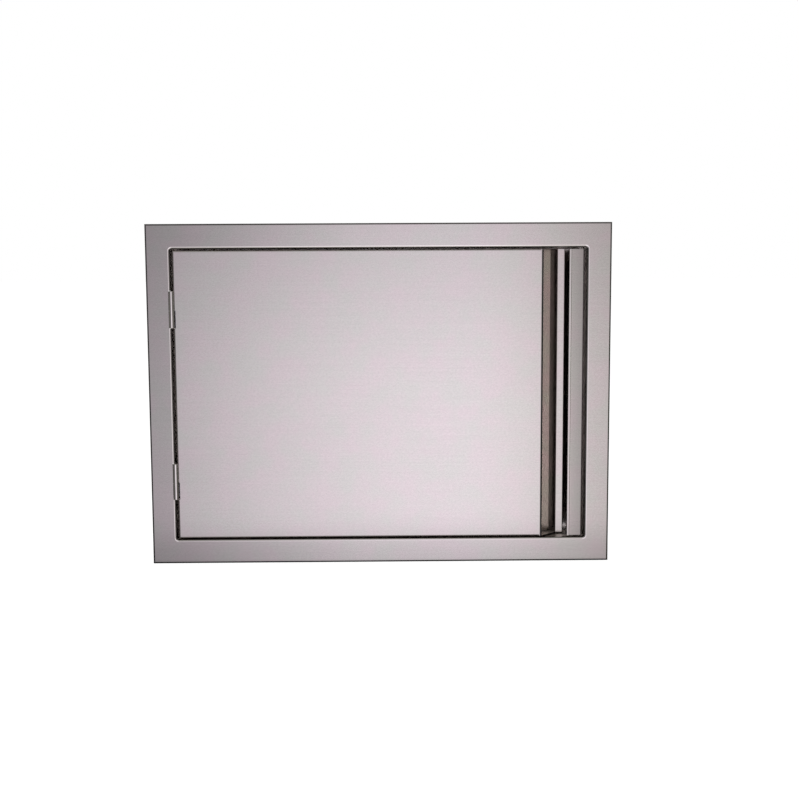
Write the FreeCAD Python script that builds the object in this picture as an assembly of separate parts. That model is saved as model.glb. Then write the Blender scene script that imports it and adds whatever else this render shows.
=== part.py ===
"""Built-in access door for an outdoor kitchen island: a flanged frame and one side-hinged door.

All sizes are in millimetres. X runs to the right, Y goes into the wall and Z is up. The origin is
the centre of the doorway on the wall's face, where the flange's folded rim bears. The door is shut.
"""

import FreeCAD, Part
import math
import os

from FreeCAD import Vector

# Frame
overall_width = 584.2
overall_height = 431.8
flange_width = 31.0
rim_depth = 10.0
hem_width = 9.0
frame_sheet = 1.2
rim_bend_radius = 2.4
wall_bend_radius = 1.6
doorway_edge_radius = 3.0
doorway_corner_radius = 2.5
stop_lip = 14.0

# Door
hinge_gap = 2.8
latch_gap = 3.6
end_gap = 2.3
door_depth = 38.0
door_sheet = 1.2
door_edge_radius = 2.0
liner_sheet = 1.0
rear_flange = 12.0
liner_inset = 2.0
liner_corner_radius = 3.0
liner_rivet_steps = 4

# Finger pull along the door's free edge
pull_zone_width = 52.1
pull_edge_radius = 4.0
ramp_angle = 43.4
land_depth = 20.0
land_width = 9.8
ramp_foot_radius = 1.6
pull_fold_radius = 0.1
channel_bend_radius = 0.6
channel_flange = 10.0
bar_width = 18.5
bar_slope = 0.7
bar_fold_radius = 0.4
bar_end_radius = 0.6
lip_depth = 12.0
lip_width = 2.6
lip_edge_radius = 0.2
groove_width = 0.5
groove_depth = 0.8

# Barrel hinges in the gap beside the door
hinge_height = 109.3
barrel_length = 46.5
barrel_radius = 3.5
barrel_proud = 1.0
barrel_edge = 1.0
barrel_room = 0.4
axis_from_opening = 0.75
seam_below_middle = 1.2
washer_thickness = 0.6
pin_radius = 2.0
pin_running_gap = 0.05
pin_seat_gap = 0.01
pin_reach = 15.0
washer_inset = 0.2
pin_nose_radius = 0.6
bore_end_room = 0.5
fixed_knuckle_room = 0.9
leaf_sheet = 1.2
leaf_depth = 21.0
leaf_knuckle_gap = 0.5
plate_corner_radius = 2.0
screw_radius = 1.5
screw_head_radius = 2.6
screw_hole_play = 0.15
screw_tail = 0.4
screw_row_y = 5.0
screw_spacing = 28.0
drive_length = 3.0
drive_width = 0.5
drive_depth = 0.7
thread_plate_width = 12.0
nut_plate_thickness = 2.5
reinforcement_thickness = 3.0

# Bumpers and magnetic catch
bumper_radius = 4.0
bumper_nose_radius = 0.9
bumper_edge_gap = 0.3
bumper_height = 150.0
bumper_depth = 2.5
shut_gap = 0.1
catch_length = 46.0
catch_body_length = 25.0
catch_width = 12.0
catch_depth = 15.7
catch_ear = 3.0
catch_case_wall = 2.2
catch_case_floor = 2.0
catch_case_corner_radius = 1.5
catch_sheet = 1.5
bracket_foot = 12.0
bracket_bend_radius = 0.6
strike_thickness = 1.2
strike_length = 38.0
strike_corner_radius = 2.5
pole_thickness = 1.5
pole_nose_radius = 0.4
magnet_setback = 1.2
catch_screw_radius = 1.25
catch_screw_hole_radius = 1.3
catch_ear_hole_radius = 1.7

# Rivets
rivet_radius = 1.6
rivet_head_radius = 3.1
rivet_head_height = 1.0
rivet_tail_radius = 2.2
rivet_tail_length = 1.8

# Holes for the screws that hold the frame in the island
wall_hole_radius = 2.75
wall_hole_y = 16.0
wall_hole_side_spacing = 310.0
wall_hole_end_spacing = 360.0

# Places worked out from the sizes above
half_w = overall_width / 2
half_h = overall_height / 2
face_y = -rim_depth
open_x = half_w - flange_width
open_z = half_h - flange_width
wall_x = open_x + frame_sheet
wall_z = open_z + frame_sheet
stop_x = open_x - stop_lip
stop_z = open_z - stop_lip

door_left = -open_x + hinge_gap
door_right = open_x - latch_gap
door_z = open_z - end_gap
liner_rear_y = face_y + door_depth
shell_rear_y = liner_rear_y - liner_sheet
pull_back_y = shell_rear_y - door_sheet

stop_front_y = liner_rear_y + shut_gap + bumper_depth
frame_rear_y = stop_front_y + frame_sheet

ramp_top_x = door_right - pull_zone_width
ramp_foot_x = ramp_top_x + land_depth / math.tan(math.radians(ramp_angle))
land_y = face_y + land_depth
land_right_x = ramp_foot_x + land_width
lip_x = door_right - bar_width
seam_x = ramp_top_x - pull_edge_radius * math.tan(math.radians(ramp_angle / 2)) - 0.5

axis_x = -open_x + axis_from_opening
axis_y = face_y - barrel_proud
leaf_front_y = axis_y + barrel_radius + leaf_knuckle_gap

catch_side_x = stop_x - shut_gap - catch_sheet
catch_front_y = liner_rear_y + strike_thickness + shut_gap
catch_rear_y = catch_front_y + catch_depth
catch_screw_y = frame_rear_y + 5.5
catch_screw_z = (catch_length + catch_body_length) / 4
catch_rivet_x = stop_x + stop_lip / 2
catch_rivet_z = 14.0


def block(x0, x1, y0, y1, z0, z1):
    """A box between two corners."""
    return Part.makeBox(x1 - x0, y1 - y0, z1 - z0, Vector(x0, y0, z0))


def rod(radius, start, direction, length):
    """A cylinder from a start point along a direction."""
    return Part.makeCylinder(radius, length, Vector(*start), Vector(*direction))


def upright(corners, half_length):
    """A prism along Z on both sides of the XY plane, over a polygon of corners."""
    points = [Vector(x, y, -half_length) for x, y in corners]
    return Part.Face(Part.makePolygon([*points, points[0]])).extrude(Vector(0, 0, 2 * half_length))


def ring(outer_x, outer_z, inner_x, inner_z, y0, y1):
    """A rectangular ring about the Y axis, given by its half widths and half heights."""
    outer = block(-outer_x, outer_x, y0, y1, -outer_z, outer_z)
    return outer.cut(block(-inner_x, inner_x, y0 - 1, y1 + 1, -inner_z, inner_z))


def joined(shapes):
    """One solid made of touching shapes, with the seams between flush faces removed."""
    return shapes[0].multiFuse(shapes[1:]).removeSplitter()


def group(shapes):
    """Separate solids that share one node, or several cutting tools used together."""
    return Part.makeCompound(shapes)


def near(a, b):
    return abs(a - b) < 1e-4


def near_either(a, low, high):
    return near(a, low) or near(a, high)


def at_most(a, b):
    return a < b + 1e-4


def rounded(shape, radius, wanted):
    """Rounds the edges whose two ends and middle all satisfy a test."""
    def picked(edge):
        middle = edge.valueAt((edge.FirstParameter + edge.LastParameter) / 2)
        ends = [vertex.Point for vertex in edge.Vertexes]
        return all(wanted(point) for point in [middle, *ends])

    return shape.makeFillet(radius, [edge for edge in shape.Edges if picked(edge)])


def solid_at(shape, point):
    """The one of a shape's solids that holds a point."""
    return next(solid for solid in shape.Solids if solid.isInside(Vector(*point), 1e-3, True))


# Folded sheets

def bent_line(corners, radii):
    """Edges along a line of corners in the XY plane, with an arc in place of each corner."""
    edges = []
    start = Vector(*corners[0], 0)
    for before, corner, after, radius in zip(corners, corners[1:], corners[2:], radii):
        tip = Vector(*corner, 0)
        run_in = (tip - Vector(*before, 0)).normalize()
        run_out = (Vector(*after, 0) - tip).normalize()
        turn = run_in.getAngle(run_out)
        arc_in = tip - run_in * (radius * math.tan(turn / 2))
        arc_out = tip + run_out * (radius * math.tan(turn / 2))
        inward = (run_out - run_in).normalize()
        middle = tip + inward * (radius / math.cos(turn / 2) - radius)
        edges.append(Part.makeLine(start, arc_in))
        edges.append(Part.Arc(arc_in, middle, arc_out).toShape())
        start = arc_out
    edges.append(Part.makeLine(start, Vector(*corners[-1], 0)))
    return edges


def folded_sheet(corners, inner_radii, thickness, half_length):
    """A folded strip that stands along Z on both sides of the XY plane. The corners lie on the
    sheet's right-hand side as it is walked, its thickness goes to the left, and each radius is on
    the inside of its fold."""
    runs = [(Vector(*b, 0) - Vector(*a, 0)).normalize() for a, b in zip(corners, corners[1:])]
    befores = [runs[0], *runs]
    afters = [*runs, runs[-1]]
    near_radii, far_radii, far_corners = [], [], []
    for i, (before, after) in enumerate(zip(befores, afters)):
        left_normals = Vector(-before.y, before.x, 0) + Vector(-after.y, after.x, 0)
        shift = left_normals * (2 * thickness / left_normals.dot(left_normals))
        far_corners.append((corners[i][0] + shift.x, corners[i][1] + shift.y))
        if 0 < i < len(corners) - 1:
            turns_left = before.cross(after).z > 0
            near_radii.append(inner_radii[i - 1] + thickness * turns_left)
            far_radii.append(inner_radii[i - 1] + thickness * (not turns_left))
    ends = [Part.makeLine(Vector(*corners[k], 0), Vector(*far_corners[k], 0)) for k in (0, -1)]
    edges = [*bent_line(corners, near_radii), *bent_line(far_corners, far_radii), *ends]
    section = Part.Face(Part.Wire(Part.__sortEdges__(edges)))
    section.translate(Vector(0, 0, -half_length))
    return section.extrude(Vector(0, 0, 2 * half_length))


# Frame

def whole_frame():
    """The flange, its folded rim and hem, the doorway's walls and the stop lips behind the door."""
    t = frame_sheet
    frame = joined([
        ring(half_w, half_h, open_x, open_z, face_y, face_y + t),
        ring(half_w, half_h, half_w - t, half_h - t, face_y, 0),
        ring(half_w, half_h, half_w - hem_width, half_h - hem_width, -t, 0),
        ring(wall_x, wall_z, open_x, open_z, face_y, frame_rear_y),
        ring(wall_x, wall_z, stop_x, stop_z, stop_front_y, frame_rear_y),
    ])

    def on_doorway_corner(p):
        return near(abs(p.x), open_x) and near(abs(p.z), open_z)

    def on_doorway_edge(p):
        return near(p.y, face_y) and at_most(abs(p.x), open_x) and at_most(abs(p.z), open_z)

    def behind_doorway_edge(p):
        on_side = near(abs(p.x), wall_x) and at_most(abs(p.z), wall_z)
        on_end = near(abs(p.z), wall_z) and at_most(abs(p.x), wall_x)
        return near(p.y, face_y + t) and (on_side or on_end)

    frame = rounded(frame, doorway_corner_radius, on_doorway_corner)
    frame = rounded(frame, doorway_edge_radius, on_doorway_edge)
    frame = rounded(frame, doorway_edge_radius - t, behind_doorway_edge)
    notches = [hinge_notch(side, axis_x - barrel_radius - barrel_room, axis_x) for side in (1, -1)]
    return frame.cut(group([*notches, *wall_holes(), *leaf_screw_holes(-wall_x - 1, frame_sheet + 2)]))


def hinge_notch(side, x0, x1):
    """Room for a hinge's barrel in a folded front edge, with rounded corners away from the gap."""
    reach = barrel_length / 2 + barrel_room
    middle = side * hinge_height
    rear_y = axis_y + barrel_radius + barrel_room
    room = block(x0, x1, face_y - 1, rear_y, middle - reach, middle + reach)
    far_x = x0 if x0 < axis_x - 1 else x1
    return rounded(room, barrel_edge, lambda p: near(p.x, far_x) and near(abs(p.z - middle), reach))


def wall_holes():
    """Two screw holes through each of the doorway's four walls."""
    holes = []
    for along in (-0.5, 0.5):
        for side in (-1, 1):
            side_place = (side * (open_x - 1), wall_hole_y, along * wall_hole_side_spacing)
            end_place = (along * wall_hole_end_spacing, wall_hole_y, side * (open_z - 1))
            holes.append(rod(wall_hole_radius, side_place, (side, 0, 0), frame_sheet + 2))
            holes.append(rod(wall_hole_radius, end_place, (0, 0, side), frame_sheet + 2))
    return holes


def frame_rails():
    """The frame's four members, parted at the welded mitres, with their outer bends rounded."""
    past, within = 5.0, flange_width + stop_lip + 5.0
    x0, x1 = half_w - within, half_w + past
    z0, z1 = half_h - within, half_h + past
    upper = [(x1, z1), (x0, z0), (-x0, z0), (-x1, z1)]
    right = [(x1, z1), (x0, z0), (x0, -z0), (x1, -z1)]
    frame = whole_frame()

    def on_outline(p, x, z):
        return near(abs(p.x), x) or near(abs(p.z), z)

    def on_rim_bend(p):
        return near_either(p.y, face_y, 0) and on_outline(p, half_w, half_h)

    def on_wall_bend(p):
        return near(p.y, frame_rear_y) and on_outline(p, wall_x, wall_z)

    def rail(corners, flip_x, flip_z):
        points = [Vector(flip_x * x, face_y - 1, flip_z * z) for x, z in corners]
        mitred = Part.Face(Part.makePolygon([*points, points[0]]))
        wedge = mitred.extrude(Vector(0, frame_rear_y - face_y + 2, 0))
        member = rounded(frame.common(wedge), rim_bend_radius, on_rim_bend)
        return rounded(member, wall_bend_radius, on_wall_bend)

    return {
        "frame_top_rail": rail(upper, 1, 1),
        "frame_bottom_rail": rail(upper, 1, -1),
        "frame_latch_stile": rail(right, 1, 1).cut(group(catch_rivet_holes())),
        "frame_hinge_stile": rail(right, -1, 1),
    }


def bumpers():
    """Four soft buttons on the side stops that the shut door rests against."""
    made = []
    for side_x in (-1, 1):
        for side_z in (-1, 1):
            x = side_x * (stop_x + bumper_radius + bumper_edge_gap)
            button = rod(bumper_radius, (x, stop_front_y, side_z * bumper_height), (0, -1, 0), bumper_depth)
            nose_y = stop_front_y - bumper_depth
            made.append(rounded(button, bumper_nose_radius, lambda p: near(p.y, nose_y)))
    return group(made)


# Hinges

def knuckle(z0, z1, outer_z):
    """One half of a hinge's barrel, eased at its outer end."""
    shell = rod(barrel_radius, (axis_x, axis_y, z0), (0, 0, 1), z1 - z0)
    return rounded(shell, barrel_edge, lambda p: near(p.z, outer_z))


def leaf(side, on_door):
    """A hinge leaf with its knuckle: the upper knuckle on the door's leaf, the lower on the frame's."""
    middle = side * hinge_height
    low, high = middle - barrel_length / 2, middle + barrel_length / 2
    seam = middle - seam_below_middle
    if on_door:
        x0 = door_left - leaf_sheet
        z0, z1, outer_z = seam + pin_running_gap, high, high
        bore_radius = pin_radius + pin_running_gap
        bore_z0, bore_z1 = z0 - 1, seam + pin_reach + bore_end_room
    else:
        x0 = -open_x
        z0, z1, outer_z = low, seam - washer_thickness, low
        bore_radius = pin_radius + pin_seat_gap
        bore_z0, bore_z1 = seam - pin_reach, z1 + 1
    rear_y = leaf_front_y + leaf_depth
    plate = block(x0, x0 + leaf_sheet, leaf_front_y, rear_y, low, high)
    plate = rounded(plate, plate_corner_radius, lambda p: near(p.y, rear_y) and near_either(p.z, low, high))
    neck = block(x0, x0 + leaf_sheet, axis_y + pin_radius, leaf_front_y, z0 + barrel_edge, z1 - barrel_edge)
    bore = rod(bore_radius, (axis_x, axis_y, bore_z0), (0, 0, 1), bore_z1 - bore_z0)
    mouth_x, into = (x0, 1) if on_door else (x0 + leaf_sheet, -1)
    holes = []
    for place in leaf_screw_places(mouth_x, side):
        through = rod(screw_radius + screw_hole_play, place, (into, 0, 0), leaf_sheet)
        holes.append(through.fuse(countersink(place, into, screw_hole_play)))
    return joined([plate, neck, knuckle(z0, z1, outer_z)]).cut(group([bore, *holes]))


def leaf_screw_places(x, side):
    """The two points at a given X where a hinge's leaf is screwed down."""
    return [(x, screw_row_y, side * hinge_height + k * screw_spacing) for k in (-0.5, 0.5)]


def leaf_screw_holes(x, length):
    """Clearance holes for both hinges' screws through a sheet."""
    places = [*leaf_screw_places(x, 1), *leaf_screw_places(x, -1)]
    return [rod(screw_radius + screw_hole_play, place, (1, 0, 0), length) for place in places]


def countersink(place, into, play):
    return Part.makeCone(screw_head_radius + play, screw_radius + play, screw_head_radius - screw_radius,
                         Vector(*place), Vector(into, 0, 0))


def leaf_screws(on_door):
    """The flat-headed screws that hold both hinges' leaves to the door or to the frame."""
    backing = reinforcement_thickness if on_door else nut_plate_thickness
    mouth_x, into = (door_left - leaf_sheet, 1) if on_door else (-open_x + leaf_sheet, -1)
    length = leaf_sheet + door_sheet + backing + screw_tail
    made = []
    for place in [*leaf_screw_places(mouth_x, 1), *leaf_screw_places(mouth_x, -1)]:
        screw = rod(screw_radius, place, (into, 0, 0), length).fuse(countersink(place, into, 0))
        made.append(screw.cut(cross_drive(*place)))
    return group(made)


def cross_drive(x, y, z):
    """The crossed slots in a screw's head whose face stands at X."""
    long, short, deep = drive_length / 2, drive_width / 2, drive_depth
    along_z = block(x - deep, x + deep, y - short, y + short, z - long, z + long)
    return along_z.fuse(block(x - deep, x + deep, y - long, y + long, z - short, z + short))


def thread_plate(side, on_door):
    """The tapped plate behind the sheet that a leaf is screwed to."""
    z0, z1 = side * hinge_height - barrel_length / 2, side * hinge_height + barrel_length / 2
    y0, y1 = screw_row_y - thread_plate_width / 2, screw_row_y + thread_plate_width / 2
    if on_door:
        x0, x1 = door_left + door_sheet, door_left + door_sheet + reinforcement_thickness
    else:
        x0, x1 = -wall_x - nut_plate_thickness, -wall_x
    plate = block(x0, x1, y0, y1, z0, z1)
    plate = rounded(plate, plate_corner_radius,
                    lambda p: near_either(p.y, y0, y1) and near_either(p.z, z0, z1))
    holes = [rod(screw_radius, place, (1, 0, 0), x1 - x0 + 2) for place in leaf_screw_places(x0 - 1, side)]
    return plate.cut(group(holes))


def hinge_pin(side):
    """A pin seated in the lower knuckle, on which the upper one turns."""
    seam = side * hinge_height - seam_below_middle
    pin = rod(pin_radius, (axis_x, axis_y, seam - pin_reach), (0, 0, 1), 2 * pin_reach)
    return rounded(pin, pin_nose_radius, lambda p: near(p.z, seam + pin_reach))


def hinge_washers():
    """The thin washers that the door's knuckles stand on."""
    made = []
    for side in (1, -1):
        place = (axis_x, axis_y, side * hinge_height - seam_below_middle - washer_thickness)
        disc = rod(barrel_radius - washer_inset, place, (0, 0, 1), washer_thickness)
        made.append(disc.cut(rod(pin_radius + pin_running_gap, place, (0, 0, 1), washer_thickness)))
    return group(made)


# Door

def pull_channel():
    """The formed sheet of the finger pull: rounded edge, ramp, land, step and rear wall."""
    corners = [
        (seam_x, face_y),
        (ramp_top_x, face_y),
        (ramp_foot_x, land_y),
        (land_right_x, land_y),
        (land_right_x, pull_back_y),
        (door_right - 2 * door_sheet, pull_back_y),
        (door_right - 2 * door_sheet, pull_back_y - channel_flange),
    ]
    edge = pull_edge_radius - door_sheet
    radii = [edge, ramp_foot_radius, pull_fold_radius, channel_bend_radius, channel_bend_radius]
    return folded_sheet(corners, radii, door_sheet, door_z)


def pull_bar():
    """The bar that the fingers hook behind: a flat lip welded to the fold that makes the bar's face,
    which falls back a little to the right, and the door's free side wall."""
    joint_x = lip_x + lip_width
    fold = folded_sheet([(joint_x, face_y), (door_right, face_y + bar_slope), (door_right, shell_rear_y)],
                        [bar_fold_radius], door_sheet, door_z)
    fold = rounded(fold, bar_end_radius, lambda p: near(abs(p.z), door_z) and p.x > joint_x - 1
                   and at_most(p.y, face_y + bar_slope))
    lip = block(lip_x, joint_x, face_y, face_y + lip_depth, -door_z, door_z)
    lip = rounded(lip, lip_edge_radius, lambda p: near(p.x, lip_x) and near(p.y, face_y))
    half_groove = groove_width / 2
    mouth = [(joint_x - half_groove, face_y), (joint_x - half_groove, face_y - 1),
             (joint_x + half_groove, face_y - 1), (joint_x + half_groove, face_y)]
    return joined([fold, lip]).cut(upright([*mouth, (joint_x, face_y + groove_depth)], half_h))


def door_skin():
    """The door's outer sheet: face, folded walls and rear flanges, with its end walls run on behind
    the finger pull."""
    t = door_sheet
    right = land_right_x - t
    shell = block(door_left, right, face_y, shell_rear_y, -door_z, door_z)
    shell = rounded(shell, door_edge_radius, lambda p: near(p.y, face_y)
                    and (near(p.x, door_left) or near(abs(p.z), door_z)))
    hollow = block(door_left + t, right + 1, face_y + t, pull_back_y, -door_z + t, door_z - t)
    rear_hole = block(door_left + rear_flange, right + 1, pull_back_y - 1, shell_rear_y + 1,
                      -door_z + rear_flange, door_z - rear_flange)
    skin = solid_at(shell.cut(hollow).cut(rear_hole).cut(pull_channel()), (0, face_y + t / 2, 0))
    cuts = []
    for side in (1, -1):
        near_x = axis_x + barrel_radius + barrel_room
        cuts.append(hinge_notch(side, axis_x, near_x))
        seam = side * hinge_height - seam_below_middle
        beside_fixed_knuckle = block(axis_x, near_x + 1, face_y - 1, 0, -half_h, seam)
        wide_notch = hinge_notch(side, axis_x, near_x + fixed_knuckle_room)
        cuts.append(wide_notch.common(beside_fixed_knuckle))
    cuts += leaf_screw_holes(door_left - 1, t + 2)
    return skin.cut(group([*cuts, *liner_rivet_holes()]))


def door_liner():
    """The flat inner sheet that closes the door's back."""
    x0, x1 = door_left + liner_inset, door_right - liner_inset
    z = door_z - liner_inset
    sheet = block(x0, x1, shell_rear_y, liner_rear_y, -z, z)
    sheet = rounded(sheet, liner_corner_radius, lambda p: near_either(p.x, x0, x1) and near(abs(p.z), z))
    return sheet.cut(group(liner_rivet_holes()))


def liner_rivet_places():
    """Points on the skin's rear flanges where the liner is riveted down."""
    left = door_left + rear_flange / 2
    right = land_right_x - 2 * rear_flange
    z = door_z - rear_flange / 2
    pitch = (right - left) / liner_rivet_steps
    ends = [(left + pitch * k, side * z) for side in (-1, 1) for k in range(liner_rivet_steps + 1)]
    return ends + [(left, z * k / 2) for k in (-1, 0, 1)]


def liner_rivet_holes():
    """Holes for those rivets through the liner and the skin's rear flanges."""
    length = liner_rear_y - pull_back_y + 2
    return [rod(rivet_radius, (x, pull_back_y - 1, z), (0, 1, 0), length) for x, z in liner_rivet_places()]


def liner_rivets():
    """Blind rivets with low round heads on the liner."""
    grip = liner_sheet + door_sheet
    return group([rivet((x, liner_rear_y, z), -1, grip) for x, z in liner_rivet_places()])


def rivet(place, into, grip):
    """A blind rivet along Y: a domed head on its seat, a shank through the grip and a swelled tail."""
    x, y, z = place
    rise = (rivet_head_radius ** 2 + rivet_head_height ** 2) / (2 * rivet_head_height)
    ball = Part.makeSphere(rise, Vector(x, y - into * (rivet_head_height - rise), z))
    head = ball.common(rod(rivet_head_radius, place, (0, -into, 0), rivet_head_height))
    shank = rod(rivet_radius, place, (0, into, 0), grip)
    tail = rod(rivet_tail_radius, (x, y + into * grip, z), (0, into, 0), rivet_tail_length)
    return joined([shank, head, tail])


def stiffener():
    """A hat-section strip that stands between the skin and the liner in the middle of the door."""
    sheet, foot, top, slant, bend = 1.0, 14.0, 30.0, 3.0, 1.0
    front_y = face_y + door_sheet
    foot_y = shell_rear_y - sheet
    half = [(top / 2, front_y), (top / 2 + slant, foot_y), (top / 2 + slant + foot, foot_y)]
    corners = [(-x, y) for x, y in reversed(half)] + half
    end_gap_to_flange = 4.0
    return folded_sheet(corners, [bend] * 4, sheet, door_z - rear_flange - end_gap_to_flange)


# Magnetic catch

def strike_plate():
    """The steel plate welded to the door's back that the magnet pulls."""
    margin = 1.0
    x0, x1 = catch_side_x - catch_width - margin, catch_side_x + margin
    z = strike_length / 2
    plate = block(x0, x1, liner_rear_y, liner_rear_y + strike_thickness, -z, z)
    return rounded(plate, strike_corner_radius, lambda p: near_either(p.x, x0, x1) and near(abs(p.z), z))


def catch_bracket():
    """The angle riveted behind the latch side's stop lip, which carries the magnetic catch."""
    foot_x = stop_x + bracket_foot
    corners = [(catch_side_x, catch_rear_y), (catch_side_x, frame_rear_y), (foot_x, frame_rear_y)]
    angle = folded_sheet(corners, [bracket_bend_radius], catch_sheet, catch_length / 2)
    screw_holes = catch_screw_holes(catch_screw_hole_radius, catch_side_x - 1, catch_sheet + 2)
    return angle.cut(group([*screw_holes, *catch_rivet_holes()]))


def catch_screw_holes(radius, x, length):
    return [rod(radius, (x, catch_screw_y, side * catch_screw_z), (1, 0, 0), length) for side in (-1, 1)]


def catch_rivet_holes():
    """Holes for the bracket's rivets through the stop lip and the bracket."""
    length = frame_sheet + catch_sheet + 2
    return [rod(rivet_radius, (catch_rivet_x, stop_front_y - 1, side * catch_rivet_z), (0, 1, 0), length)
            for side in (-1, 1)]


def catch_bracket_rivets():
    grip = frame_sheet + catch_sheet
    places = [(catch_rivet_x, stop_front_y, side * catch_rivet_z) for side in (-1, 1)]
    return group([rivet(place, 1, grip) for place in places])


def magnet_slot():
    """The half length and the low and high X of the magnet and pole plates in the catch's case."""
    wall = catch_case_wall
    return catch_body_length / 2 - wall, catch_side_x - catch_width + wall, catch_side_x - wall


def catch_housing():
    """The catch's moulded case: a body with a slot for the magnet, between two screw ears."""
    play, front_setback = 0.1, 0.8
    z_body, z_ear = catch_body_length / 2, catch_length / 2
    x_body, x_ear = catch_side_x - catch_width, catch_side_x - catch_ear
    y0 = catch_front_y + front_setback
    ear_y0, ear_y1 = frame_rear_y + 0.5, catch_rear_y - 1
    body = block(x_body, catch_side_x, y0, catch_rear_y, -z_body, z_body)
    body = rounded(body, catch_case_corner_radius, lambda p: near(p.x, x_body) and near(abs(p.z), z_body))
    ears = block(x_ear, catch_side_x, ear_y0, ear_y1, -z_ear, z_ear)
    ears = rounded(ears, catch_ear, lambda p: near(abs(p.z), z_ear) and near_either(p.y, ear_y0, ear_y1))
    z, x0, x1 = magnet_slot()
    slot = block(x0 - play, x1 + play, y0 - 1, catch_rear_y - catch_case_floor, -z - play, z + play)
    holes = catch_screw_holes(catch_ear_hole_radius, x_ear - 1, catch_ear + 2)
    return joined([body, ears]).cut(group([slot, *holes]))


def pole_plates():
    """The two steel plates that stand just proud of the case and meet the strike plate."""
    z, x0, x1 = magnet_slot()
    made = []
    for x in (x0, x1 - pole_thickness):
        made.append(block(x, x + pole_thickness, catch_front_y, catch_rear_y - catch_case_floor, -z, z))
    return rounded(group(made), pole_nose_radius, lambda p: near(p.y, catch_front_y) and near(abs(p.z), z))


def magnet():
    """The block magnet between the pole plates."""
    z, x0, x1 = magnet_slot()
    end_room = 0.3
    return block(x0 + pole_thickness, x1 - pole_thickness, catch_front_y + magnet_setback,
                 catch_rear_y - catch_case_floor, -z + end_room, z - end_room)


def catch_screws():
    """Round-headed screws through the case's ears into the bracket."""
    head_radius, head_height, tail = 2.9, 1.8, 0.8
    seat_x = catch_side_x - catch_ear
    ball_radius = (head_radius ** 2 + head_height ** 2) / (2 * head_height)
    made = []
    for side in (-1, 1):
        z = side * catch_screw_z
        place = (seat_x, catch_screw_y, z)
        shank = rod(catch_screw_radius, place, (1, 0, 0), catch_ear + catch_sheet + tail)
        ball = Part.makeSphere(ball_radius, Vector(seat_x - head_height + ball_radius, catch_screw_y, z))
        head = ball.common(rod(head_radius, place, (-1, 0, 0), head_height))
        made.append(joined([shank, head]).cut(cross_drive(seat_x - head_height, catch_screw_y, z)))
    return group(made)


def all_nodes():
    """Every sub-part by its node's name."""
    nodes = frame_rails()
    nodes["door_bumpers"] = bumpers()
    nodes["hinge_washers"] = hinge_washers()
    nodes["frame_hinge_screws"] = leaf_screws(False)
    nodes["door_hinge_screws"] = leaf_screws(True)
    for name, side in (("upper", 1), ("lower", -1)):
        nodes[f"{name}_hinge_frame_leaf"] = leaf(side, False)
        nodes[f"{name}_hinge_door_leaf"] = leaf(side, True)
        nodes[f"{name}_hinge_pin"] = hinge_pin(side)
        nodes[f"{name}_hinge_nut_plate"] = thread_plate(side, False)
        nodes[f"{name}_hinge_reinforcement"] = thread_plate(side, True)
    nodes["door_skin"] = door_skin()
    nodes["door_liner"] = door_liner()
    nodes["liner_rivets"] = liner_rivets()
    nodes["door_stiffener"] = stiffener()
    nodes["pull_channel"] = pull_channel()
    nodes["pull_bar"] = pull_bar()
    nodes["strike_plate"] = strike_plate()
    nodes["catch_bracket"] = catch_bracket()
    nodes["catch_bracket_rivets"] = catch_bracket_rivets()
    nodes["catch_housing"] = catch_housing()
    nodes["catch_magnet"] = magnet()
    nodes["catch_pole_plates"] = pole_plates()
    nodes["catch_screws"] = catch_screws()
    return nodes


def main():
    os.makedirs("parts", exist_ok=True)
    for name, shape in all_nodes().items():
        sound = shape.isValid() and all(solid.isClosed() for solid in shape.Solids)
        verdict = "sound" if sound else "UNSOUND"
        print(f"{name}: {len(shape.Solids)} solids, {shape.Volume:.1f} mm3, {verdict}")
        shape.exportStep(f"parts/{name}.step")


main()
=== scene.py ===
"""Looks of the built-in access door: satin stainless steel, small fittings, floor, light and camera.

Everything is in metres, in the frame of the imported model: X to the right, Y into the wall, Z up.
"""

import bpy
import math
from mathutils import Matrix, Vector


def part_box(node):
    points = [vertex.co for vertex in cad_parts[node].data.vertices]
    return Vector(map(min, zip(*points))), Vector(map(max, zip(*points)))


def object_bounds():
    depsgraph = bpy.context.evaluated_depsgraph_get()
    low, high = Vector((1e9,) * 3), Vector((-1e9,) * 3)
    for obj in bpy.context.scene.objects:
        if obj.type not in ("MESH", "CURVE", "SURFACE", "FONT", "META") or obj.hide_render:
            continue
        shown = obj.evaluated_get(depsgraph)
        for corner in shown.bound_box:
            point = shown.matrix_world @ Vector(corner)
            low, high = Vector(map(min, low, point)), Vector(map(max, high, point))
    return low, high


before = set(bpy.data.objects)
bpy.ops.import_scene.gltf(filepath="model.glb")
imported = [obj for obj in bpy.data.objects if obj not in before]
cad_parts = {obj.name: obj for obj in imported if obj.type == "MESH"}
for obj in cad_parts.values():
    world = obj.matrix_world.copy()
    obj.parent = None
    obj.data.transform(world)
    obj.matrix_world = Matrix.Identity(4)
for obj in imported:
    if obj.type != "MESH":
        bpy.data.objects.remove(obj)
cad_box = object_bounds()

# The flat front of the frame and door, and the left and right edges of the pull's bar
face_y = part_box("frame_top_rail")[0].y
bar_left_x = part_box("pull_bar")[0].x
bar_right_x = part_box("pull_bar")[1].x

# Steel, as the share of red, green and blue light that it gives back
steel_colour = (0.661, 0.619, 0.572)

# Its tints, and the painted highlight on the front of the doorway's folded edge, as shares of that colour
pinkish_tint = (1.03, 0.985, 1.015)
greenish_tint = (0.975, 1.01, 0.99)
fold_painted_highlight = 1.22

# Its gloss, which is stretched across the grain
steel_roughness = 0.116
steel_roughness_change = 0.015
patch_roughness = 0.015
steel_anisotropy = 0.89
across_grain = (0.02, 0.02, 1.0)

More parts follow.
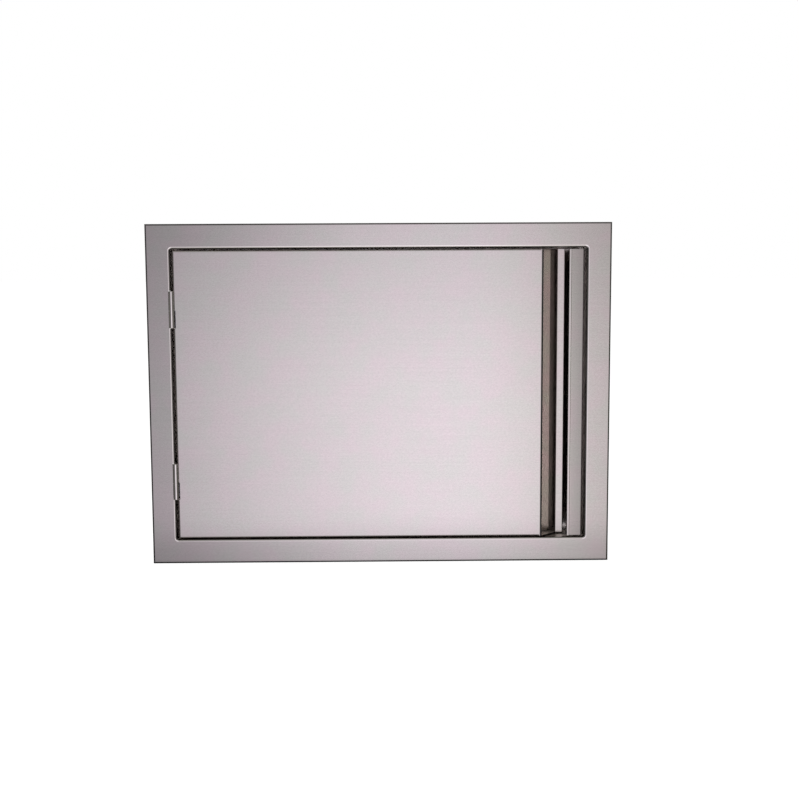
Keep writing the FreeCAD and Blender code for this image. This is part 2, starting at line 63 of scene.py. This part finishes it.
# Steel's noises, as how often they change in a metre along X, Y and Z
fine_grain = (25, 2600, 2600)
long_grain = (6, 700, 700)
speckles = (380, 620, 620)
tints = (34, 34, 34)
dull_patches = (9, 9, 9)

# The values that a noise mostly lies between, and a narrower span with more contrast
noise_span = (0.3, 0.7)
narrow_span = (0.35, 0.65)

# Darker tones of the long grain and the speckles, each as a share of the colour under it
long_grain_shade = 0.80
speckle_shade = 0.60
# Painted shade on the frame's left, the folds and the bar, each as a share of the colour under it
frame_left_painted_shade = 0.78
deep_fold_painted_shade = 0.40
rim_fold_painted_shade = 0.35
ramp_fold_painted_shade = 0.10
bar_right_painted_shade = 0.84
bar_inside_painted_shade = 0.40

# The most that the long grain's and the speckles' darker tones ever show
long_grain_strength = 0.16
speckle_strength = 0.17

# Roughness added to the steel where it isn't polished
bar_inside_roughness = 0.2
unpolished_roughness = 0.3

# Where the painted shade and highlight and the added roughness lie
left_fade_x = (-0.25, -0.03)
doorway_half_size = (0.28, 0.20)
fold_start_y = (face_y + 0.00001, face_y + 0.00007)
deep_edge_y = (face_y + 0.0008, face_y + 0.0026)
rim_fold_end_y = face_y + 0.0022
unpolished_y = (face_y + 0.0025, face_y + 0.0055)
ramp_top_x = bar_right_x - 0.0521
ramp_fold_x = (ramp_top_x - 0.0009, ramp_top_x + 0.0009)
bar_face_x = (bar_left_x + 0.0030, bar_right_x - 0.0020)
bar_inside_x = (bar_left_x + 0.0015, bar_left_x + 0.0017)
bar_inside_y = (face_y + 0.00075, face_y + 0.00105)

# Camera
camera_place = (0.0091, -1.5211, 0.1623)
camera_turn_degrees = (83.630, 0.292, -0.629)
sensor_width = 36.0
image_width = 799
focal_length_px = 1200

# Wall of light behind the camera: where it is lit, the X and Z of its brightest spot, how far the glow
# reaches from there, the least share it falls to, and its light on the left and on the right
wall_distance = 2.5
lit_x = (-1.65, 1.85)
glow_middle = (0.29, -0.36)
glow_reach_left = 1.41
glow_reach_right = 0.53
glow_reach_up = 0.60
glow_least_right = 0.40
glow_least_up = 0.62
glow_light = (1.225, 1.19, 1.34)
glow_light_right = (1.225, 1.175, 1.26)
glow_light_change_width = 0.5
unlit = 0.13

# Cards round the object, with how bright they are in front, beside the object and at the rear, and
# where they turn from the second to the third
card_reach = 2.4
card_rear = 2.2
side_strengths = (unlit, unlit, 0.45)
above_strengths = (0.50, 0.20, 0.45)
below_strengths = (0.60, 0.30, 0.40)
side_rise_y = (-0.5, 0.5)
rear_rise_y = (1.1, card_rear)

# Room, floor and lamp
room_light = 0.62
floor_size = 60.0
floor_colour = (0.42, 0.42, 0.42)
floor_glow = 0.80
shade_under_floor = 0.0001
contact_shade = 0.95
contact_shade_reach = 0.005
near_shade = 0.30
near_shade_span = (0.02, 0.30)
lamp_place = (-0.9, -1.9, 2.2)
lamp_size = (1.6, 1.2)
lamp_power = 22.0


# Shader building

class Nodes:
    """A node tree with short calls to add and link nodes."""

    def __init__(self, tree):
        self.tree = tree
        tree.nodes.clear()

    def add(self, kind, **values):
        made = self.tree.nodes.new(kind)
        for key, value in values.items():
            setattr(made, key, value)
        return made

    def set(self, socket, value):
        """Links a socket or sets a constant, with a colour given as red, green and blue only."""
        if isinstance(value, bpy.types.NodeSocket):
            self.tree.links.new(value, socket)
        elif socket.type == "RGBA":
            socket.default_value = (*value, 1.0)
        else:
            socket.default_value = value

    def math(self, operation, a, b=0.0, clamp=False):
        made = self.add("ShaderNodeMath", operation=operation, use_clamp=clamp)
        self.set(made.inputs[0], a)
        self.set(made.inputs[1], b)
        return made.outputs[0]

    def times(self, a, b):
        return self.math("MULTIPLY", a, b)

    def between(self, value, limits):
        """1 between two limits, else 0."""
        low, high = limits
        return self.times(self.math("GREATER_THAN", value, low), self.math("LESS_THAN", value, high))

    def remap(self, value, limits, results=(0.0, 1.0), kind="LINEAR"):
        """Turns a value between two limits into one between two results, held beyond them."""
        made = self.add("ShaderNodeMapRange", interpolation_type=kind)
        for socket, item in zip(made.inputs, (value, *limits, *results)):
            self.set(socket, item)
        return made.outputs[0]

    def mix(self, factor, a, b, kind="MIX"):
        made = self.add("ShaderNodeMix", data_type="RGBA", blend_type=kind)
        self.set(made.inputs["Factor"], factor)
        self.set(made.inputs[6], a)
        self.set(made.inputs[7], b)
        return made.outputs[2]

    def darken(self, factor, colour, share):
        """The colour times a share, as far as the factor says."""
        return self.mix(factor, colour, (share, share, share), kind="MULTIPLY")

    def noise(self, place, stretch, detail=2.0):
        mapping = self.add("ShaderNodeMapping")
        self.set(mapping.inputs["Vector"], place)
        self.set(mapping.inputs["Scale"], stretch)
        made = self.add("ShaderNodeTexNoise")
        self.set(made.inputs["Vector"], mapping.outputs[0])
        self.set(made.inputs["Scale"], 1.0)
        self.set(made.inputs["Detail"], detail)
        return made.outputs["Fac"]

    def even_noise(self, place, scale, detail=2.0):
        return self.noise(place, (scale, scale, scale), detail)

    def bump(self, height, strength, distance):
        made = self.add("ShaderNodeBump")
        self.set(made.inputs["Strength"], strength)
        self.set(made.inputs["Distance"], distance)
        self.set(made.inputs["Height"], height)
        return made.outputs[0]


def new_material(name):
    material = bpy.data.materials.new(name)
    material.use_nodes = True
    nodes = Nodes(material.node_tree)
    shader = nodes.add("ShaderNodeBsdfPrincipled")
    output = nodes.add("ShaderNodeOutputMaterial")
    nodes.set(output.inputs["Surface"], shader.outputs[0])
    place = nodes.add("ShaderNodeTexCoord").outputs["Object"]
    return material, nodes, shader, place


def set_surface(nodes, shader, colour, roughness, normal, metallic):
    nodes.set(shader.inputs["Base Color"], colour)
    nodes.set(shader.inputs["Roughness"], roughness)
    nodes.set(shader.inputs["Normal"], normal)
    nodes.set(shader.inputs["Metallic"], metallic)


def shaded(colour, shade):
    return tuple(channel * shade for channel in colour)


def tinted(colour, tint):
    return tuple(channel * share for channel, share in zip(colour, tint))


# Satin steel

class SatinSteel:
    """Stainless sheet with a fine satin grain along X, speckles, faint tints and dull patches."""

    def __init__(self, name):
        self.material, nodes, self.shader, place = new_material(name)
        self.nodes = nodes
        parts = nodes.add("ShaderNodeSeparateXYZ")
        nodes.set(parts.inputs[0], place)
        self.x, self.y, self.z = parts.outputs
        self.grain = nodes.noise(place, fine_grain, detail=3.0)
        tint = nodes.remap(nodes.noise(place, tints, detail=4.0), narrow_span)
        streaks = nodes.remap(nodes.noise(place, long_grain), noise_span, (0.0, long_grain_strength))
        spots = nodes.remap(nodes.noise(place, speckles, detail=1.0), noise_span, (0.0, speckle_strength))
        patches = nodes.noise(place, dull_patches, detail=3.0)
        dullness = nodes.remap(patches, (0.45, 0.75), (0.0, patch_roughness))
        plain = nodes.mix(tint, tinted(steel_colour, pinkish_tint), tinted(steel_colour, greenish_tint))
        streaked = nodes.darken(streaks, plain, long_grain_shade)
        self.colour = nodes.darken(spots, streaked, speckle_shade)
        least = steel_roughness - steel_roughness_change
        most = steel_roughness + steel_roughness_change
        self.roughness = nodes.math("ADD", nodes.remap(self.grain, noise_span, (least, most)), dullness)

    def darken(self, where, shade):
        self.colour = self.nodes.darken(where, self.colour, shade)

    def roughen(self, where, amount):
        self.roughness = self.nodes.math("ADD", self.roughness, self.nodes.times(where, amount))

    def paint_shade_on_left(self):
        # Painted shade: the frame grows darker towards its left
        self.darken(self.nodes.remap(self.x, left_fade_x, (1.0, 0.0)), frame_left_painted_shade)

    def paint_fold_light_and_shade(self):
        """Paints a highlight on the front of the doorway's folded edge and shade deeper in it, and paints
        shade on the rim's fold.
        """
        nodes = self.nodes
        half_width, half_height = doorway_half_size
        near_x = nodes.math("LESS_THAN", nodes.math("ABSOLUTE", self.x), half_width)
        near_z = nodes.math("LESS_THAN", nodes.math("ABSOLUTE", self.z), half_height)
        by_doorway = nodes.times(near_x, near_z)
        on_fold = nodes.remap(self.y, fold_start_y)
        highlighted_fold = nodes.times(on_fold, by_doorway)
        # Painted highlight on the front of the doorway's fold
        self.colour = nodes.mix(highlighted_fold, self.colour, shaded(steel_colour, fold_painted_highlight))
        # Painted shade deeper in the doorway's fold
        deep = nodes.between(self.y, deep_edge_y)
        self.darken(nodes.times(deep, by_doorway), deep_fold_painted_shade)
        # Painted shade on the rim's fold, away from the doorway
        on_rim_fold = nodes.times(on_fold, nodes.math("LESS_THAN", self.y, rim_fold_end_y))
        self.darken(nodes.times(on_rim_fold, nodes.math("SUBTRACT", 1.0, by_doorway)), rim_fold_painted_shade)

    def paint_shade_on_ramp_fold(self):
        # Painted shade along the fold at the top of the ramp
        self.darken(self.nodes.between(self.x, ramp_fold_x), ramp_fold_painted_shade)

    def paint_shade_on_bar(self):
        """Paints shade on the bar's face, growing darker to the right, and on its sides and inside, which
        are also made rougher.
        """
        nodes = self.nodes
        # Painted shade on the bar's face, darker towards the right
        self.darken(nodes.remap(self.x, bar_face_x), bar_right_painted_shade)
        inside = nodes.times(nodes.remap(self.x, bar_inside_x), nodes.remap(self.y, bar_inside_y))
        # Painted shade on the bar's sides and inside
        self.darken(inside, bar_inside_painted_shade)
        self.roughen(inside, bar_inside_roughness)

    def leave_inside_unpolished(self):
        self.roughen(self.nodes.remap(self.y, unpolished_y), unpolished_roughness)

    def finished(self):
        nodes, shader = self.nodes, self.shader
        bump = nodes.bump(self.grain, strength=0.06, distance=0.00004)
        set_surface(nodes, shader, self.colour, self.roughness, bump, metallic=1.0)
        nodes.set(shader.inputs["Anisotropic"], steel_anisotropy)
        turn = nodes.add("ShaderNodeVectorTransform", vector_type="VECTOR")
        turn.convert_from = "OBJECT"
        turn.convert_to = "WORLD"
        nodes.set(turn.inputs[0], across_grain)
        nodes.set(shader.inputs["Tangent"], turn.outputs[0])
        return self.material


def door_steel():
    return SatinSteel("door_satin_steel").finished()


def frame_steel():
    steel = SatinSteel("frame_satin_steel")
    steel.paint_shade_on_left()
    # Painted highlight and shade on the doorway's and the rim's folds
    steel.paint_fold_light_and_shade()
    steel.leave_inside_unpolished()
    return steel.finished()


def skin_steel():
    steel = SatinSteel("skin_satin_steel")
    steel.leave_inside_unpolished()
    return steel.finished()


def channel_steel():
    steel = SatinSteel("channel_satin_steel")
    steel.paint_shade_on_ramp_fold()
    return steel.finished()


def bar_steel():
    steel = SatinSteel("bar_satin_steel")
    # Painted shade on the bar's face, sides and inside
    steel.paint_shade_on_bar()
    return steel.finished()


# Other materials

def hinge_steel():
    """Turned and polished stainless with faint handling marks."""
    material, nodes, shader, place = new_material("polished_hinge_steel")
    polished = shaded(steel_colour, 1.2)
    handled = shaded(polished, 0.9)
    marks = nodes.even_noise(place, 900.0, detail=3.0)
    smudges = nodes.remap(nodes.even_noise(place, 120.0), (0.4, 0.7))
    colour = nodes.mix(smudges, polished, handled)
    roughness = nodes.remap(marks, noise_span, (0.04, 0.09))
    bump = nodes.bump(marks, strength=0.05, distance=0.00003)
    set_surface(nodes, shader, colour, roughness, bump, metallic=1.0)
    return material


def zinc_plate():
    """Bright zinc plate, a little bluish and cloudy."""
    material, nodes, shader, place = new_material("zinc_plated_steel")
    bright = (0.56, 0.58, 0.60)
    cloudy = (0.44, 0.46, 0.50)
    spangle = nodes.even_noise(place, 420.0, detail=4.0)
    clouds = nodes.remap(nodes.even_noise(place, 90.0), narrow_span)
    colour = nodes.mix(clouds, bright, cloudy)
    roughness = nodes.remap(spangle, noise_span, (0.26, 0.42))
    bump = nodes.bump(spangle, strength=0.12, distance=0.00005)
    set_surface(nodes, shader, colour, roughness, bump, metallic=1.0)
    return material


def moulding(name, plain, roughness):
    """Fine-textured moulded plastic or rubber with lighter rubbed spots."""
    material, nodes, shader, place = new_material(name)
    lighter = tuple(channel + 0.035 for channel in plain)
    texture = nodes.even_noise(place, 1800.0)
    rubbed = nodes.remap(nodes.even_noise(place, 160.0, detail=3.0), (0.5, 0.75))
    colour = nodes.mix(rubbed, plain, lighter)
    varied = nodes.remap(texture, noise_span, (roughness - 0.06, roughness + 0.06))
    bump = nodes.bump(texture, strength=0.25, distance=0.00006)
    set_surface(nodes, shader, colour, varied, bump, metallic=0.0)
    return material


def ferrite():
    """Dark sintered magnet stone."""
    material, nodes, shader, place = new_material("magnet_ferrite")
    dark = (0.035, 0.034, 0.036)
    light = (0.075, 0.072, 0.074)
    grit = nodes.even_noise(place, 1400.0, detail=4.0)
    colour = nodes.mix(nodes.remap(grit, narrow_span), dark, light)
    roughness = nodes.remap(grit, noise_span, (0.45, 0.65))
    bump = nodes.bump(grit, strength=0.3, distance=0.00008)
    set_surface(nodes, shader, colour, roughness, bump, metallic=0.0)
    return material


def dress_nodes():
    """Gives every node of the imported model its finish."""
    by_slot = {
        "brushed_stainless": door_steel(),
        "polished_stainless": hinge_steel(),
        "plated_steel": zinc_plate(),
        "catch_case": moulding("catch_case_plastic", (0.55, 0.545, 0.52), 0.45),
        "magnet": ferrite(),
        "bumper": moulding("bumper_rubber", (0.045, 0.045, 0.047), 0.62),
    }
    by_node = {
        "door_skin": skin_steel(),
        "pull_channel": channel_steel(),
        "pull_bar": bar_steel(),
    }
    rails = ("frame_top_rail", "frame_bottom_rail", "frame_hinge_stile", "frame_latch_stile")
    by_node.update(dict.fromkeys(rails, frame_steel()))
    for name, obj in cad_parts.items():
        slot = obj.data.materials[0].name.split(".")[0]
        obj.material_slots[0].link = "OBJECT"
        obj.material_slots[0].material = by_node.get(name, by_slot[slot])


# Studio

def ray_is(nodes, *names):
    """1 for rays of the named kinds, else 0."""
    path = nodes.add("ShaderNodeLightPath")
    total = path.outputs[names[0]]
    for name in names[1:]:
        total = nodes.math("ADD", total, path.outputs[name], clamp=True)
    return total


def make_world():
    world = bpy.data.worlds.new("studio")
    bpy.context.scene.world = world
    world.use_nodes = True
    nodes = Nodes(world.node_tree)
    seen = ray_is(nodes, "Is Camera Ray", "Is Glossy Ray", "Is Transmission Ray")
    background = nodes.add("ShaderNodeBackground")
    nodes.set(background.inputs["Strength"], nodes.remap(seen, (0.0, 1.0), (room_light, 1.0)))
    nodes.set(background.inputs["Color"], (1.0, 1.0, 1.0))
    output = nodes.add("ShaderNodeOutputWorld")
    nodes.set(output.inputs["Surface"], background.outputs[0])


def stage_mesh(name, corners):
    """A four-cornered sheet of the studio."""
    mesh = bpy.data.meshes.new(name)
    mesh.from_pydata(corners, [], [(0, 1, 2, 3)])
    obj = bpy.data.objects.new(name, mesh)
    bpy.context.scene.collection.objects.link(obj)
    return obj


def level(z, reach, front, rear):
    """Corners of a level sheet, in order round it."""
    return [(-reach, front, z), (reach, front, z), (reach, rear, z), (-reach, rear, z)]


def make_floor():
    """A pale floor that shows white and keeps the object's shadow."""
    half = floor_size / 2
    floor = stage_mesh("floor", level(cad_box[0].z, half, -half, half))
    material = bpy.data.materials.new("floor_white")
    material.use_nodes = True
    nodes = Nodes(material.node_tree)
    diffuse = nodes.add("ShaderNodeBsdfDiffuse")
    nodes.set(diffuse.inputs["Color"], floor_colour)
    glow = nodes.add("ShaderNodeEmission")
    seen = ray_is(nodes, "Is Camera Ray", "Is Glossy Ray", "Is Transmission Ray")
    nodes.set(glow.inputs["Strength"], nodes.times(seen, floor_glow))
    total = nodes.add("ShaderNodeAddShader")
    nodes.set(total.inputs[0], diffuse.outputs[0])
    nodes.set(total.inputs[1], glow.outputs[0])
    output = nodes.add("ShaderNodeOutputMaterial")
    nodes.set(output.inputs["Surface"], total.outputs[0])
    floor.data.materials.append(material)
    floor.visible_glossy = False


def only_in_reflections(obj):
    obj.visible_camera = False
    obj.visible_diffuse = False
    obj.visible_transmission = False
    obj.visible_volume_scatter = False
    obj.visible_shadow = False


def glowing_card(name, corners):
    """A card that only reflections see, with its glow still to be set."""
    card = stage_mesh(name, corners)
    material = bpy.data.materials.new(name + "_glow")
    material.use_nodes = True
    nodes = Nodes(material.node_tree)
    parts = nodes.add("ShaderNodeSeparateXYZ")
    nodes.set(parts.inputs[0], nodes.add("ShaderNodeTexCoord").outputs["Object"])
    glow = nodes.add("ShaderNodeEmission")
    output = nodes.add("ShaderNodeOutputMaterial")
    nodes.set(output.inputs["Surface"], glow.outputs[0])
    card.data.materials.append(material)
    only_in_reflections(card)
    return nodes, parts.outputs, glow, output


def fading(nodes, distance, reach, least=0.0):
    """A soft bell-shaped fall from 1 with a distance above 0, down to a least value."""
    share = nodes.times(nodes.math("MAXIMUM", distance, 0.0), 1 / reach)
    bell = nodes.math("POWER", math.e, nodes.times(nodes.times(share, share), -1.0))
    return nodes.math("ADD", nodes.times(bell, 1.0 - least), least)


def make_light_wall():
    """The broad soft light behind the camera, brighter towards the right, that the steel reflects."""
    reach, y = card_reach, -wall_distance
    corners = [(-reach, y, -reach), (reach, y, -reach), (reach, y, reach), (-reach, y, reach)]
    nodes, (x, _, z), glow, _ = glowing_card("light_wall", corners)
    rightward = nodes.math("SUBTRACT", x, glow_middle[0])
    leftward = nodes.times(rightward, -1.0)
    upward = nodes.math("SUBTRACT", z, glow_middle[1])
    strength = fading(nodes, leftward, glow_reach_left)
    strength = nodes.times(strength, fading(nodes, rightward, glow_reach_right, glow_least_right))
    strength = nodes.times(strength, fading(nodes, upward, glow_reach_up, glow_least_up))
    strength = nodes.times(strength, nodes.between(x, lit_x))
    on_right = nodes.remap(rightward, (0.0, glow_light_change_width))
    nodes.set(glow.inputs["Color"], nodes.mix(on_right, glow_light, glow_light_right))
    nodes.set(glow.inputs["Strength"], nodes.math("MAXIMUM", strength, unlit))


def make_side_cards():
    """Dimmer cards above, below and beside the object, which shade the steel's folds."""
    reach, front, rear = card_reach, -wall_distance, card_rear

    def upright(x):
        return [(x, front, -reach), (x, front, reach), (x, rear, reach), (x, rear, -reach)]

    cards = {
        "card_left": (upright(-reach), side_strengths, side_rise_y),
        "card_right": (upright(reach), side_strengths, side_rise_y),
        "card_above": (level(reach, reach, front, rear), above_strengths, rear_rise_y),
        "card_below": (level(-reach, reach, front, rear), below_strengths, rear_rise_y),
    }
    for name, (corners, (in_front, beside, at_rear), rise_y) in cards.items():
        nodes, (_, y, _), glow, _ = glowing_card(name, corners)
        to_side = nodes.remap(y, (front, 0.0), (in_front, beside))
        to_rear = nodes.remap(y, rise_y, (0.0, at_rear - beside))
        nodes.set(glow.inputs["Strength"], nodes.math("ADD", to_side, to_rear))


def make_floor_shade():
    """The shade on the floor round the object's foot, as the steel reflects it."""
    z = cad_box[0].z - shade_under_floor
    corners = level(z, card_reach, -card_reach, card_rear)
    nodes, (_, y, _), glow, output = glowing_card("floor_shade", corners)
    nodes.set(glow.inputs["Strength"], 0.0)
    middle_y = (face_y + cad_box[1].y) / 2
    half_depth = (cad_box[1].y - face_y) / 2
    from_middle = nodes.math("ABSOLUTE", nodes.math("SUBTRACT", y, middle_y))
    away = nodes.math("MAXIMUM", nodes.math("SUBTRACT", from_middle, half_depth), 0.0)
    contact = nodes.math("POWER", math.e, nodes.times(away, -1 / contact_shade_reach))
    near = nodes.remap(away, near_shade_span, (near_shade, 0.0), kind="SMOOTHSTEP")
    clear = nodes.add("ShaderNodeBsdfTransparent")
    total = nodes.add("ShaderNodeMixShader")
    nodes.set(total.inputs[0], nodes.math("ADD", nodes.times(contact, contact_shade), near))
    nodes.set(total.inputs[1], clear.outputs[0])
    nodes.set(total.inputs[2], glow.outputs[0])
    nodes.set(output.inputs["Surface"], total.outputs[0])


def make_lamp():
    """A large soft lamp high in front on the left, for the floor's shadow and the plastics."""
    data = bpy.data.lights.new("key", "AREA")
    data.shape = "RECTANGLE"
    data.size, data.size_y = lamp_size
    data.energy = lamp_power
    lamp = bpy.data.objects.new("key", data)
    bpy.context.scene.collection.objects.link(lamp)
    lamp.location = lamp_place
    lamp.rotation_euler = (-lamp.location).to_track_quat("-Z", "Y").to_euler()
    lamp.visible_glossy = False


def make_camera():
    data = bpy.data.cameras.new("camera")
    data.sensor_width = sensor_width
    data.sensor_fit = "HORIZONTAL"
    data.lens = focal_length_px * sensor_width / image_width
    camera = bpy.data.objects.new("camera", data)
    bpy.context.scene.collection.objects.link(camera)
    camera.location = camera_place
    camera.rotation_euler = [math.radians(angle) for angle in camera_turn_degrees]
    bpy.context.scene.camera = camera


dress_nodes()
make_world()
make_floor()
make_light_wall()
make_side_cards()
make_floor_shade()
make_lamp()
make_camera()
bpy.context.scene.view_settings.view_transform = "Standard"
